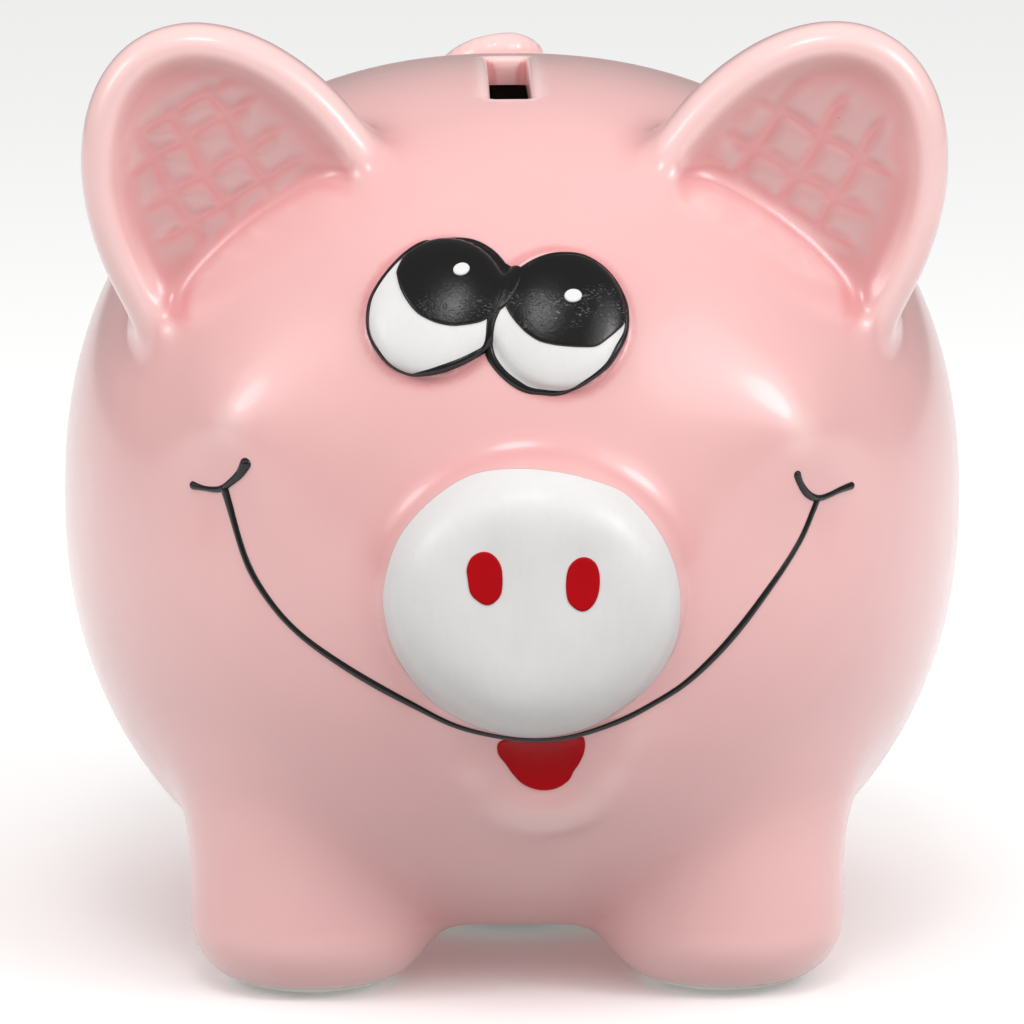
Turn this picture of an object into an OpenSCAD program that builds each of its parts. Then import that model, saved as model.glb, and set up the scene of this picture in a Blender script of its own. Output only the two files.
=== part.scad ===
// Ceramic piggy bank: a hollow glazed body on four stub legs, with cupped ears, a drum snout,
// a curly tail, a painted face and a rubber stopper in the belly.
// Frame: the bank stands on z = 0, +Z is up, the snout faces -Y, and the origin is under the middle
// of the bank's outline.

/* [Body] */
// Width across the flanks
body_w = 133.2; // [110:0.2:160]
// Length from face to rump, without the snout
body_l = 160; // [132:1:192]
// Height that the rounded body would have with no flat on its belly
body_h = 130; // [108:1:156]
// Squareness of the body's curves, where 2 is an ellipsoid
body_square = 2.25; // [2.1:0.05:2.5]
// Squareness of the underside
belly_square = 2.15; // [2:0.05:2.4]
// How much the flat of the belly takes off the rounded body
belly_cut = 5.7; // [3:0.1:10]
// Free height under the belly
belly_gap = 5.4; // [4.5:0.1:10]
// Thickness of the ceramic wall
wall = 4.2; // [3.4:0.1:5.4]

/* [Coin slot] */
// Length of the coin slot along the back
slot_l = 31; // [26:0.5:38]
// Width of the coin slot
slot_w = 5.8; // [4.8:0.1:7]
// Radius of the slot's corners
slot_round = 0.9; // [0.4:0.1:2]
// How far the middle of the slot lies in front of the body's middle
slot_ahead = 14; // [4:0.5:20]
// Where the slot's middle lies beside the body's middle
slot_aside = -0.7; // [-3:0.1:3]

/* [Snout] */
// Width of the snout
snout_w = 41.4; // [34:0.2:49]
// Height of the snout
snout_h = 37.4; // [31:0.2:45]
// How far the snout stands out from the face
snout_out = 8.5; // [6:0.1:12]
// Where the snout's middle lies beside the body's middle
snout_aside = 1.2; // [-3:0.1:3]
// Where the snout's middle lies above the widest level
snout_up = -2; // [-5:0.5:5]
// Thickness of a film of paint
paint = 0.35; // [0.25:0.05:0.5]
// Width of a nostril
nostril_w = 4.9; // [3.5:0.1:6]
// Height of a nostril
nostril_h = 7.2; // [5:0.1:9]
// Distance between the middles of the nostrils
nostril_pitch = 13.2; // [10:0.1:17]
// How far the nostrils lie above the snout's middle
nostril_up = 3.6; // [-2:0.1:5]

/* [Ears] */
// Width of an ear at its root
ear_w = 42.8; // [36:0.2:50]
// Height of an ear from its root to its tip
ear_h = 32.1; // [26:0.1:38]
// Thickness of an ear
ear_t = 17; // [14:0.5:21]
// Width of the rolled edge round an ear's hollow
ear_edge = 3.8; // [3:0.1:6]
// Depth of that hollow, from the ear's foremost point
ear_hollow = 6.2; // [3:0.1:8]
// How far the ears lean outward, in degrees
ear_lean = 30.4; // [15:0.1:40]
// How deep the middle of an ear's root lies in the body
ear_sink = 2.9; // [1:0.1:5]

/* [Legs] */
// Diameter of a leg
leg_d = 34.8; // [29:0.2:42]
// Radius of the rounded edge of a foot
foot_round = 7.5; // [2:0.5:8]
// Height of the bare band at the foot, which has no glaze
bare_h = 1.2; // [0.6:0.1:2]
// Distance between the middles of the left and right legs
leg_track = 59.4; // [50:0.2:71]
// Distance between the middles of the front and rear legs
leg_base = 84; // [70:1:100]

/* [Face] */
// Width of an eye
eye_w = 18.2; // [16:0.2:22]
// Height of an eye
eye_h = 20.8; // [18:0.2:25]
// How far an eye stands out from the face
eye_out = 2.6; // [2:0.1:4]
// Width of a pupil
pupil_w = 16; // [13:0.2:19]
// Height of a pupil
pupil_h = 15; // [12:0.2:18]
// Thickness of the painted line round the eyes
outline_d = 1.7; // [1.2:0.1:2.4]
// Thickness of the painted smile
smile_d = 1.2; // [0.9:0.1:1.8]
// Half the spread of the smile, in degrees round the body
smile_spread = 32.3; // [26:0.1:38]
// Width of the lower lip
lip_w = 27; // [22:0.5:32]
// Height of the lower lip
lip_h = 26; // [18:0.5:28]
// How far the lower lip stands out from the face
lip_out = 4; // [3:0.1:6]
// Width of the painted tongue
tongue_w = 13; // [9:0.1:16]
// Height of the painted tongue
tongue_h = 9; // [6:0.1:12]

/* [Tail] */
// Thickness of the tail at its root
tail_d = 7.6; // [6:0.1:9]
// Diameter of the curl, between the middles of the cord
curl_d = 14; // [11:0.1:16]

/* [Stopper] */
// Diameter of the stopper hole in the belly
hole_d = 30; // [25:0.5:36]
// How far the stopper's rim reaches past the hole
rim_over = 4; // [2:0.5:5]
// Thickness of the stopper's rim
rim_t = 2.2; // [1.6:0.1:3]
// How far the stopper reaches past the wall into the chamber
plug_past = 3.4; // [2:0.1:5]
// Clearance between the stopper's ribs and its hole, all round
plug_fit = 0.06; // [0.04:0.01:0.1]
// Width of the finger bar across the stopper
bar_w = 3.6; // [2.6:0.1:5]

/* [Hidden] */

glaze_pink = [0.93, 0.68, 0.68];
paint_white = [0.95, 0.95, 0.94];
paint_black = [0.06, 0.06, 0.06];
paint_red = [0.75, 0.04, 0.06];
bisque = [0.93, 0.91, 0.88];
rubber = [0.86, 0.86, 0.84];

$fn = 96;                 // sides of the round shapes
BODY_AROUND = 56;         // sides and half-rows of the body's surface
LUMP_AROUND = 32;         // the same for a small lump
CORD_SIDES = 10;
ELLIPSE = 2;              // a lump's outline or profile power for a plain ellipse
ROLLED = 3;               // for a slab with a rolled edge
DRUM = 3.6;               // for a drum with a rounded edge
PAST = 20;                // how far a cutter reaches past what it cuts

LEFT = -1;
RIGHT = 1;
FRONT = -1;
REAR = 1;

// Headings are [azimuth, elevation] in degrees from the body's middle: azimuth 0 is straight ahead
// and grows to the right. A third value turns the piece about the surface's outward direction.
EAR_HEADING = [41, 38];
EAR_SHIFT = -0.6;           // both ears sit this many degrees to the left of even
LEFT_EYE = [-9.8, 27.6, -14];
RIGHT_EYE = [4.1, 26.3, -5];
LIP = [1.9, -22, 0];
TAIL_HEADING = [181, 45];
SMILE_MIDDLE = [0.3, -16.2];
SMILE_RISE = 23.5;        // how much higher the smile's ends are, in degrees
SMILE_POWER = 2.12;
DIMPLE_SPAN = 4.6;        // half the width of the mark across each end of the smile, in degrees
DIMPLE_RISE = 2;

// Places on the eyes and the lip: across and up from the middle, in millimetres.
LEFT_PUPIL = [1.2, 3.7];
RIGHT_PUPIL = [0.7, 3];
LEFT_GLINT = [2, 6.4];
RIGHT_GLINT = [1.5, 4.4];
GLINT_D = 2;
TONGUE = [0, 4.6];

body_half = [body_w, body_l, body_h] / 2;
belly_drop = body_h / 2 - belly_cut;
body_middle = [0, snout_out / 2 + paint, belly_gap + belly_drop];
snout_half = [snout_w / 2, snout_h / 2, snout_out + snout_w / 3];
snout_middle = body_middle + [snout_aside, snout_half[2] - snout_out - body_half[1], snout_up];
rim_d = hole_d + 2 * rim_over;
plug_d = hole_d - 2 * plug_fit;

// ---- Lumps: rounded solids with an outline power in x-y and a profile power along z ----

// How many times larger than the lump of these half sizes is the one that passes through p.
function gauge(p, half, outline, profile) =
    pow(pow(pow(abs(p[0] / half[0]), outline) + pow(abs(p[1] / half[1]), outline), profile / outline)
        + pow(abs(p[2] / half[2]), profile), 1 / profile);

function aim(azimuth, elevation) =
    [sin(azimuth) * cos(elevation), -cos(azimuth) * cos(elevation), sin(elevation)];

// A lump about the origin, with its own profile power below the middle and an underside cut level.
module lump(half, outline = ELLIPSE, profile = ELLIPSE, below = 0, around = LUMP_AROUND, floor_at = 1000) {
    rows = around / 2;
    ring = [for (i = [1 : rows - 1], j = [0 : around - 1])
        let (a = aim(360 * j / around, 180 * i / rows - 90))
        a / gauge(a, half, outline, a[2] < 0 && below > 0 ? below : profile)];
    points = concat([[0, 0, -half[2]]], ring, [[0, 0, half[2]]]);
    top = len(points) - 1;
    function at(i, j) = 1 + i * around + j % around;
    faces = concat(
        [for (j = [0 : around - 1]) [0, at(0, j), at(0, j + 1)]],
        [for (i = [0 : rows - 3], j = [0 : around - 1]) each [
            [at(i, j), at(i + 1, j), at(i + 1, j + 1)],
            [at(i, j), at(i + 1, j + 1), at(i, j + 1)]]],
        [for (j = [0 : around - 1]) [top, at(rows - 2, j + 1), at(rows - 2, j)]]);
    polyhedron([for (p = points) [p[0], p[1], max(p[2], -floor_at)]], faces);
}

// ---- The body's surface, which the other pieces seat on ----

function body_power(q) = q[2] < 0 ? belly_square : body_square;
function onto_body(p) =
    let (q = p - body_middle)
    body_middle + q / gauge(q, body_half, body_square, body_power(q));
function body_point(heading) = onto_body(body_middle + aim(heading[0], heading[1]));

function unit(v) = v / norm(v);

// The outward direction at a point of the body's surface.
function body_normal(p) =
    let (q = p - body_middle, e = body_square, k = body_power(q),
         x = abs(q[0] / body_half[0]), y = abs(q[1] / body_half[1]), z = abs(q[2] / body_half[2]),
         plan = pow(pow(x, e) + pow(y, e), k / e - 1))
    unit([sign(q[0]) * plan * pow(x, e - 1) / body_half[0],
          sign(q[1]) * plan * pow(y, e - 1) / body_half[1],
          sign(q[2]) * pow(z, k - 1) / body_half[2]]);

// Puts its children on the body, with their z axis along the surface's outward direction.
module on_body(heading) {
    n = body_normal(body_point(heading));
    translate(body_point(heading))
        rotate([90 - asin(n[2]), 0, atan2(n[0], -n[1])])
            rotate([0, 0, heading[2]])
                children();
}

module body_blank() {
    translate(body_middle)
        lump(body_half, body_square, body_square, belly_square, BODY_AROUND, belly_drop);
}

module body_chamber() {
    translate(body_middle)
        lump(body_half - [wall, wall, wall], body_square, body_square, belly_square,
             BODY_AROUND - 8, belly_drop - wall);
}

// ---- Cords swept along a path ----

// A tube along points on or near the body, with radii that run from r_start to r_end.
module cord(path, r_start, r_end, closed = false) {
    n = len(path);
    function before(i) = closed ? path[(i + n - 1) % n] : path[max(i - 1, 0)];
    function after(i) = closed ? path[(i + 1) % n] : path[min(i + 1, n - 1)];
    rings = [for (i = [0 : n - 1])
        let (along = unit(after(i) - before(i)),
             side = unit(cross(along, body_normal(path[i]))),
             over = cross(side, along),
             r = r_start + (r_end - r_start) * i / (n - 1))
        for (k = [0 : CORD_SIDES - 1])
            path[i] + r * (cos(360 * k / CORD_SIDES) * side + sin(360 * k / CORD_SIDES) * over)];
    function at(i, k) = (i % n) * CORD_SIDES + k % CORD_SIDES;
    sides = [for (i = [0 : closed ? n - 1 : n - 2], k = [0 : CORD_SIDES - 1]) each [
        [at(i, k), at(i + 1, k + 1), at(i + 1, k)],
        [at(i, k), at(i, k + 1), at(i + 1, k + 1)]]];
    ends = closed ? [] : [
        [for (k = [CORD_SIDES - 1 : -1 : 0]) at(0, k)],
        [for (k = [0 : CORD_SIDES - 1]) at(n - 1, k)]];
    polyhedron(rings, concat(sides, ends));
}

// ---- Body ----

module coin_slot() {
    translate(body_middle + [slot_aside, -slot_ahead, 0])
        linear_extrude(body_h)
            for (flat = [[slot_w - 2 * slot_round, slot_l], [slot_w, slot_l - 2 * slot_round]]) {
                square(flat, center = true);
                for (x = [-1, 1], y = [-1, 1])
                    translate([x * (slot_w / 2 - slot_round), y * (slot_l / 2 - slot_round)])
                        circle(slot_round, $fn = 24);
            }
}

module body_shell() {
    color(glaze_pink)
        difference() {
            body_blank();
            body_chamber();
            coin_slot();
            translate([0, body_middle[1], belly_gap - PAST])
                cylinder(d = hole_d, h = PAST + wall + 1);
            for (side = [LEFT, RIGHT], end = [FRONT, REAR])
                leg_hollow(side, end);
        }
}

// ---- Snout ----

module snout_blank(grow = 0) {
    translate(snout_middle)
        rotate([90, 0, 0])
            lump(snout_half + [grow, grow, grow], ELLIPSE, DRUM);
}

module snout() {
    color(glaze_pink)
        difference() {
            snout_blank();
            body_blank();
        }
}

// The white film covers the snout back to where its side meets the face.
module snout_paint() {
    color(paint_white)
        difference() {
            snout_blank(paint);
            snout_blank();
            body_blank();
        }
}

module nostril(side) {
    color(paint_red)
        difference() {
            intersection() {
                snout_blank(2 * paint);
                translate(snout_middle + [side * nostril_pitch / 2, 0, nostril_up])
                    rotate([90, 0, 0])
                        linear_extrude(snout_half[2] + PAST)
                            scale([nostril_w / nostril_h, 1])
                                circle(d = nostril_h);
            }
            snout_blank(paint);
        }
}

// ---- Lip and tongue ----

module lip_blank(grow = 0) {
    on_body(LIP)
        lump([lip_w / 2 + grow, lip_h / 2 + grow, lip_out + grow]);
}

module lower_lip() {
    color(glaze_pink)
        difference() {
            lip_blank();
            body_blank();
            snout_blank(paint);
        }
}

module tongue_paint() {
    corner_d = tongue_w / 3;
    tip_d = tongue_w / 2;
    color(paint_red)
        difference() {
            intersection() {
                lip_blank(paint);
                on_body(LIP)
                    translate(TONGUE)
                        linear_extrude(2 * lip_out)
                            hull() {
                                for (side = [LEFT, RIGHT])
                                    translate([side * (tongue_w - corner_d) / 2, (tongue_h - corner_d) / 2])
                                        circle(d = corner_d, $fn = 24);
                                translate([0, -(tongue_h - tip_d) / 2])
                                    circle(d = tip_d, $fn = 24);
                            }
            }
            lip_blank();
            body_blank();
            snout_blank(paint);
            smile_cord();
        }
}

// ---- Ears ----

module ear(side) {
    heading = [side * EAR_HEADING[0] + EAR_SHIFT, EAR_HEADING[1]];
    color(glaze_pink)
        difference() {
            translate(body_point(heading) - ear_sink * aim(heading[0], heading[1]))
                rotate([90, 0, 0])
                    rotate([0, 0, -side * ear_lean])
                        difference() {
                            lump([ear_w / 2, ear_h, ear_t / 2], ELLIPSE, ROLLED);
                            translate([0, 0, ear_t / 2])
                                lump([ear_w / 2 - ear_edge, ear_h - ear_edge, ear_hollow], ELLIPSE, ROLLED);
                        }
            body_blank();
        }
}

// ---- Legs ----

module leg_blank(side, end) {
    translate([side * leg_track / 2, body_middle[1] + end * leg_base / 2, 0])
        rotate_extrude() {
            translate([0, foot_round])
                square([leg_d / 2, body_middle[2] - foot_round]);
            square([leg_d / 2 - foot_round, foot_round]);
            intersection() {
                translate([leg_d / 2 - foot_round, foot_round])
                    circle(foot_round);
                translate([leg_d / 2 - foot_round, 0])
                    square(foot_round);
            }
        }
}

// The legs are hollow, and open into the chamber.
module leg_hollow(side, end) {
    translate([side * leg_track / 2, body_middle[1] + end * leg_base / 2, bare_h + wall])
        cylinder(d = leg_d - 2 * wall, h = body_middle[2] - bare_h - wall);
}

// Everything up to the top of the bare bands.
module bare_level() {
    translate([-body_w, -body_l, -PAST])
        cube([2 * body_w, 2 * body_l, PAST + bare_h]);
}

module leg(side, end) {
    color(glaze_pink)
        difference() {
            leg_blank(side, end);
            body_blank();
            leg_hollow(side, end);
            bare_level();
        }
}

module bare_feet() {
    color(bisque)
        for (side = [LEFT, RIGHT], end = [FRONT, REAR])
            intersection() {
                leg_blank(side, end);
                bare_level();
            }
}

// ---- Tail ----

// The curl lies on the rump and climbs away from it as it goes round.
module tail() {
    turn = 410;
    steps = 30;
    foot = body_point(TAIL_HEADING);
    out = body_normal(foot);
    across = [1, 0, 0];
    up = cross(across, out);
    path = [for (i = [0 : steps])
        let (t = turn * i / steps)
        foot + curl_d / 2 * (sin(t) * across + cos(t) * up) + out * tail_d * (t / 360 - 0.15)];
    color(glaze_pink)
        difference() {
            cord(path, tail_d / 2, 0.36 * tail_d);
            body_blank();
        }
}

// ---- Eyes ----

module eye_blank(eye, grow = 0) {
    on_body(eye)
        lump([eye_w / 2 + grow, eye_h / 2 + grow, eye_out + grow]);
}

module eye_left() {
    color(paint_white)
        difference() {
            eye_blank(LEFT_EYE);
            body_blank();
        }
}

module eye_right() {
    color(paint_white)
        difference() {
            eye_blank(RIGHT_EYE);
            body_blank();
            eye_blank(LEFT_EYE, paint);
        }
}

// A film on an eye, over what lies within its children's outline.
module eye_film(eye, lower, upper) {
    difference() {
        intersection() {
            eye_blank(eye, upper);
            on_body(eye)
                linear_extrude(2 * eye_out)
                    children();
        }
        eye_blank(eye, lower);
        body_blank();
    }
}

module pupil_outline(place) {
    translate(place)
        scale([pupil_w / pupil_h, 1])
            circle(d = pupil_h);
}

module pupil_left() {
    color(paint_black)
        eye_film(LEFT_EYE, 0, paint)
            pupil_outline(LEFT_PUPIL);
}

module pupil_right() {
    color(paint_black)
        difference() {
            eye_film(RIGHT_EYE, 0, paint)
                pupil_outline(RIGHT_PUPIL);
            eye_blank(LEFT_EYE, paint);
        }
}

module eye_glints() {
    color(paint_white) {
        eye_film(LEFT_EYE, paint, 2 * paint)
            translate(LEFT_GLINT)
                circle(d = GLINT_D);
        eye_film(RIGHT_EYE, paint, 2 * paint)
            translate(RIGHT_GLINT)
                circle(d = GLINT_D);
    }
}

// The line where an eye meets the face.
function eye_loop(eye, steps = 40) =
    let (p = body_point(eye), n = body_normal(p),
         across = unit(cross([0, 0, 1], n)), up = cross(n, across))
    [for (i = [0 : steps - 1])
        let (t = -360 * i / steps, u = eye_w / 2 * cos(t), v = eye_h / 2 * sin(t))
        onto_body(p + (u * cos(eye[2]) - v * sin(eye[2])) * across
            + (u * sin(eye[2]) + v * cos(eye[2])) * up)];

module eye_outline() {
    color(paint_black)
        difference() {
            for (eye = [LEFT_EYE, RIGHT_EYE])
                cord(eye_loop(eye), outline_d / 2, outline_d / 2, closed = true);
            body_blank();
            for (eye = [LEFT_EYE, RIGHT_EYE])
                eye_blank(eye, paint);
        }
}

// ---- Smile ----

module smile_cord() {
    steps = 36;
    path = [for (i = [0 : steps])
        let (t = 2 * i / steps - 1)
        body_point(SMILE_MIDDLE + [smile_spread * t, SMILE_RISE * pow(abs(t), SMILE_POWER)])];
    cord(path, smile_d / 2, smile_d / 2);
}

// The short curved mark across one end of the smile.
module dimple_cord(side) {
    path = [for (t = [-1 : 0.2 : 1])
        body_point(SMILE_MIDDLE + [side * smile_spread + DIMPLE_SPAN * t, SMILE_RISE + DIMPLE_RISE * t * t])];
    cord(path, smile_d / 2, smile_d / 2);
}

module smile_line() {
    color(paint_black)
        difference() {
            smile_cord();
            body_blank();
            snout_blank(paint);
            lip_blank();
        }
}

module dimple_marks() {
    color(paint_black)
        for (side = [LEFT, RIGHT])
            difference() {
                dimple_cord(side);
                body_blank();
                smile_cord();
            }
}

// ---- Stopper ----

// A soft plug: a rim outside the belly, ribs that grip the hole and stand past the wall, and a
// hollow with a bar across it for the finger.
module stopper() {
    rib = wall / 5;
    neck_d = plug_d - rib;
    plug_h = wall + plug_past;
    hollow_d = 0.62 * hole_d;
    hollow_h = plug_h - rim_t;
    color(rubber)
        translate([0, body_middle[1], belly_gap]) {
            difference() {
                union() {
                    translate([0, 0, -rim_t])
                        cylinder(d1 = rim_d - rim_t, d2 = rim_d, h = rim_t);
                    cylinder(d = neck_d, h = plug_h);
                    for (z = [rib, 3 * rib, wall + plug_past / 3])
                        translate([0, 0, z])
                            cylinder(d = plug_d, h = rib);
                }
                translate([0, 0, -PAST])
                    cylinder(d = hollow_d, h = PAST + hollow_h);
            }
            translate([-hollow_d / 2 - rib, -bar_w / 2, -rim_t])
                cube([hollow_d + 2 * rib, bar_w, 1.4 * rim_t]);
        }
}

body_shell();
snout();
lower_lip();
ear(LEFT);  // ear_left
ear(RIGHT);  // ear_right
leg(LEFT, FRONT);  // leg_front_left
leg(RIGHT, FRONT);  // leg_front_right
leg(LEFT, REAR);  // leg_rear_left
leg(RIGHT, REAR);  // leg_rear_right
bare_feet();
tail();
eye_left();
eye_right();
pupil_left();
pupil_right();
eye_outline();
eye_glints();
snout_paint();
nostril(LEFT);  // nostril_left
nostril(RIGHT);  // nostril_right
smile_line();
dimple_marks();
tongue_paint();
stopper();
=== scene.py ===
"""A glazed earthenware piggy bank with a painted face and a rubber stopper.

The casting's outer skin is a distance field in millimetres, made of the same rounded lumps as the
CAD solids, run together with fillets where slip and glaze fill the corners. A voxel mesh of rough
lumps is pulled onto that field. Paint lies on the skin as thin closed films and beads.
"""

from __future__ import annotations

import logging
import math
from collections.abc import Iterable
from dataclasses import dataclass, field
from enum import Enum

import bmesh
import bpy
import numpy as np
from mathutils import Matrix, Vector


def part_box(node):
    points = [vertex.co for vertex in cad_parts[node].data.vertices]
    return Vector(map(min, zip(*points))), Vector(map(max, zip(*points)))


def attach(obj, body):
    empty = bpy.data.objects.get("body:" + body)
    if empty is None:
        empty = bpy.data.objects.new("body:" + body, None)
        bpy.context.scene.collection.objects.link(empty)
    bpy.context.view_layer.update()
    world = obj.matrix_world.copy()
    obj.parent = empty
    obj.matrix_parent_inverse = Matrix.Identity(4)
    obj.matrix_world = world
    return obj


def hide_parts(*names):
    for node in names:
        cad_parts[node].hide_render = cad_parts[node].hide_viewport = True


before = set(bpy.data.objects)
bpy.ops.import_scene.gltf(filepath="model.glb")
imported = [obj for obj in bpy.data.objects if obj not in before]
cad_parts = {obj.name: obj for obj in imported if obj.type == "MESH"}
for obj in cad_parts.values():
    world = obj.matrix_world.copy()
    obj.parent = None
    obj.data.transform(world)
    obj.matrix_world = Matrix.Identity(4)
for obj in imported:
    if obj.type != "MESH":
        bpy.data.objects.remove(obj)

LOG = logging.getLogger("piggy_bank")
Points = np.ndarray
MM = 0.001
FAR = 90.0
TINY = 1e-9


class Side(Enum):
    """Which half of the bank a piece is on, as the sign of x."""

    LEFT = -1
    RIGHT = 1


class End(Enum):
    """Which end of the bank a leg is at, as the sign of y."""

    FRONT = -1
    REAR = 1


class Outlook(Enum):
    """How a flat outline is carried onto the skin."""

    FROM_MIDDLE = "headings from the body's middle"
    FROM_FRONT = "across and up from the snout's middle, seen along y"


# ---- Small geometry ----


def table(*rows: float | tuple[float, float]) -> Points:
    """A field that starts as these numbers, or as these rows of numbers."""
    return field(default_factory=lambda: np.array(rows))


def aim(headings: Points) -> Points:
    """Unit vectors of headings, which are azimuth and elevation in degrees.

    Args:
        headings: One heading, or one a row.

    Returns:
        The directions, one a row.
    """
    turn = np.radians(np.asarray(headings, float))
    across, rise = turn[..., 0], turn[..., 1]
    return np.stack([np.sin(across) * np.cos(rise), -np.cos(across) * np.cos(rise), np.sin(rise)], -1)


def unit(vectors: Points) -> Points:
    """The same directions at length one."""
    return vectors / np.maximum(np.linalg.norm(vectors, axis=-1, keepdims=True), TINY)


def smooth_min(one: Points, other: Points, reach: float | Points) -> Points:
    """The smaller of two distances, run together where they come within reach of each other."""
    near = np.clip(1 - np.abs(one - other) / reach, 0, None)
    return np.minimum(one, other) - near**3 * reach / 6


def smooth_max(one: Points, other: Points, reach: float | Points) -> Points:
    """The larger of two distances, run together where they come within reach of each other."""
    return -smooth_min(-one, -other, reach)


def step_up(value: Points, low: float, high: float) -> Points:
    """Nought below low and one above high, with a smooth rise between them."""
    share = np.clip((value - low) / (high - low), 0, 1)
    return share * share * (3 - 2 * share)


def bell(value: Points, width: float) -> Points:
    """A bell curve, one in the middle and fading over about the width."""
    return np.exp(-0.5 * (value / width) ** 2)


def eased(a: Points, b: Points, c: Points, d: Points, share: Points) -> Points:
    """A smooth way from b to c, for four corners in a row and the share of the way."""
    return 0.5 * (2 * b + (c - a) * share + (2 * a - 5 * b + 4 * c - d) * share**2
                  + (3 * b - a - 3 * c + d) * share**3)


def closed_curve(corners: Points, count: int) -> Points:
    """Points on a smooth closed curve through the corners.

    Args:
        corners: The points that the curve passes through, one a row.
        count: How many points to return.

    Returns:
        The points, evenly shared between the corners.
    """
    corners = np.asarray(corners, float)
    place = np.arange(count) * len(corners) / count
    first = place.astype(int)
    share = (place - first)[:, None]
    return eased(*(corners[(first + k) % len(corners)] for k in (-1, 0, 1, 2)), share)


def open_curve(corners: Points, count: int) -> Points:
    """Points on a smooth open curve through the corners, ends included."""
    corners = np.asarray(corners, float)
    longer = np.vstack([2 * corners[0] - corners[1], corners, 2 * corners[-1] - corners[-2]])
    place = np.linspace(0, len(corners) - 1 - TINY, count)
    first = place.astype(int)
    share = (place - first)[:, None]
    return eased(*(longer[first + k] for k in range(4)), share)


# ---- Lumps and other forms that the casting is made of ----


@dataclass
class Lump:
    """A rounded solid with an outline power across it and a profile power through it."""

    middle: Points
    half: Points
    outline: float = 2.0
    profile: float = 2.0
    below: float = 0.0
    axes: Points = field(default_factory=lambda: np.eye(3))

    def local(self, points: Points) -> Points:
        """Points in the lump's own axes."""
        return (points - self.middle) @ self.axes

    def world(self, points: Points) -> Points:
        """Points of the lump's own axes, in the bank's."""
        return points @ self.axes.T + self.middle

    def distance(self, points: Points) -> Points:
        """About how far each point is outside the lump, and negative inside it."""
        local = self.local(points)
        power = np.where(local[:, 2] < 0, self.below, self.profile) if self.below else self.profile
        x, y, z = (np.abs(local) / self.half + TINY).T
        plan = x**self.outline + y**self.outline
        gauge = (plan ** (power / self.outline) + z**power) ** (1 / power)
        level = gauge ** (1 - power)
        rim = level * plan ** (power / self.outline - 1)
        slope = np.sqrt((rim * x ** (self.outline - 1) / self.half[0]) ** 2
                        + (rim * y ** (self.outline - 1) / self.half[1]) ** 2
                        + (level * z ** (power - 1) / self.half[2]) ** 2)
        return (gauge - 1) / slope

    def surface(self, heading: Points) -> Points:
        """The point of the surface along a heading from the lump's middle."""
        way = aim(heading)
        reach = np.linspace(0, 2 * self.half.max(), 4000)
        distance = self.distance(self.middle + reach[:, None] * way)
        return self.middle + np.interp(0, distance, reach) * way

    def seat(self, heading: Points, spin: float = 0.0) -> tuple[Points, Points]:
        """A place on the surface, and axes there that look outwards.

        Args:
            heading: Azimuth and elevation in degrees.
            spin: A turn about the outward direction, in degrees.

        Returns:
            The place, and a matrix whose columns are across, up and outwards.
        """
        place = self.surface(np.asarray(heading, float))
        steps = np.eye(3) * 0.01
        outward = unit(self.distance(place + steps) - self.distance(place - steps))
        across = unit(np.cross([0, 0, 1.0], outward))
        up = np.cross(outward, across)
        turn = math.radians(spin)
        return place, np.column_stack([math.cos(turn) * across + math.sin(turn) * up,
                                       math.cos(turn) * up - math.sin(turn) * across, outward])

    def rough(self, shape: bmesh.types.BMesh, around: int) -> None:
        """Adds the lump to a mesh as a round ball pulled out to the surface."""
        ball = bmesh.ops.create_uvsphere(shape, u_segments=around, v_segments=around // 2, radius=1)
        found = ball["verts"]
        ways = np.array([vertex.co for vertex in found])
        x, y, z = (np.abs(ways) / self.half + TINY).T
        power = np.where(ways[:, 2] < 0, self.below or self.profile, self.profile)
        plan = x**self.outline + y**self.outline
        gauge = (plan ** (power / self.outline) + z**power) ** (1 / power)
        for vertex, place in zip(found, self.world(ways / gauge[:, None])):
            vertex.co = place


@dataclass
class Leg:
    """A stubby leg, a drum with a rounded foot."""

    middle: Points
    size: float = 34.8
    rounding: float = 9.5
    top: float = 42.0

    def distance(self, points: Points) -> Points:
        """How far each point is outside the leg."""
        side = np.hypot(points[:, 0] - self.middle[0], points[:, 1] - self.middle[1])
        side = side - (self.size / 2 - self.rounding)
        foot = np.maximum(self.rounding - points[:, 2], points[:, 2] - self.top + self.rounding)
        corner = np.hypot(np.maximum(side, 0), np.maximum(foot, 0))
        return corner + np.minimum(np.maximum(side, foot), 0) - self.rounding

    def rough(self, shape: bmesh.types.BMesh) -> None:
        """Adds the leg to a mesh as a plain drum."""
        place = Matrix.Translation((*self.middle[:2], self.top / 2))
        bmesh.ops.create_cone(shape, cap_ends=True, segments=40, radius1=self.size / 2 - 1,
                              radius2=self.size / 2, depth=self.top, matrix=place)


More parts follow.
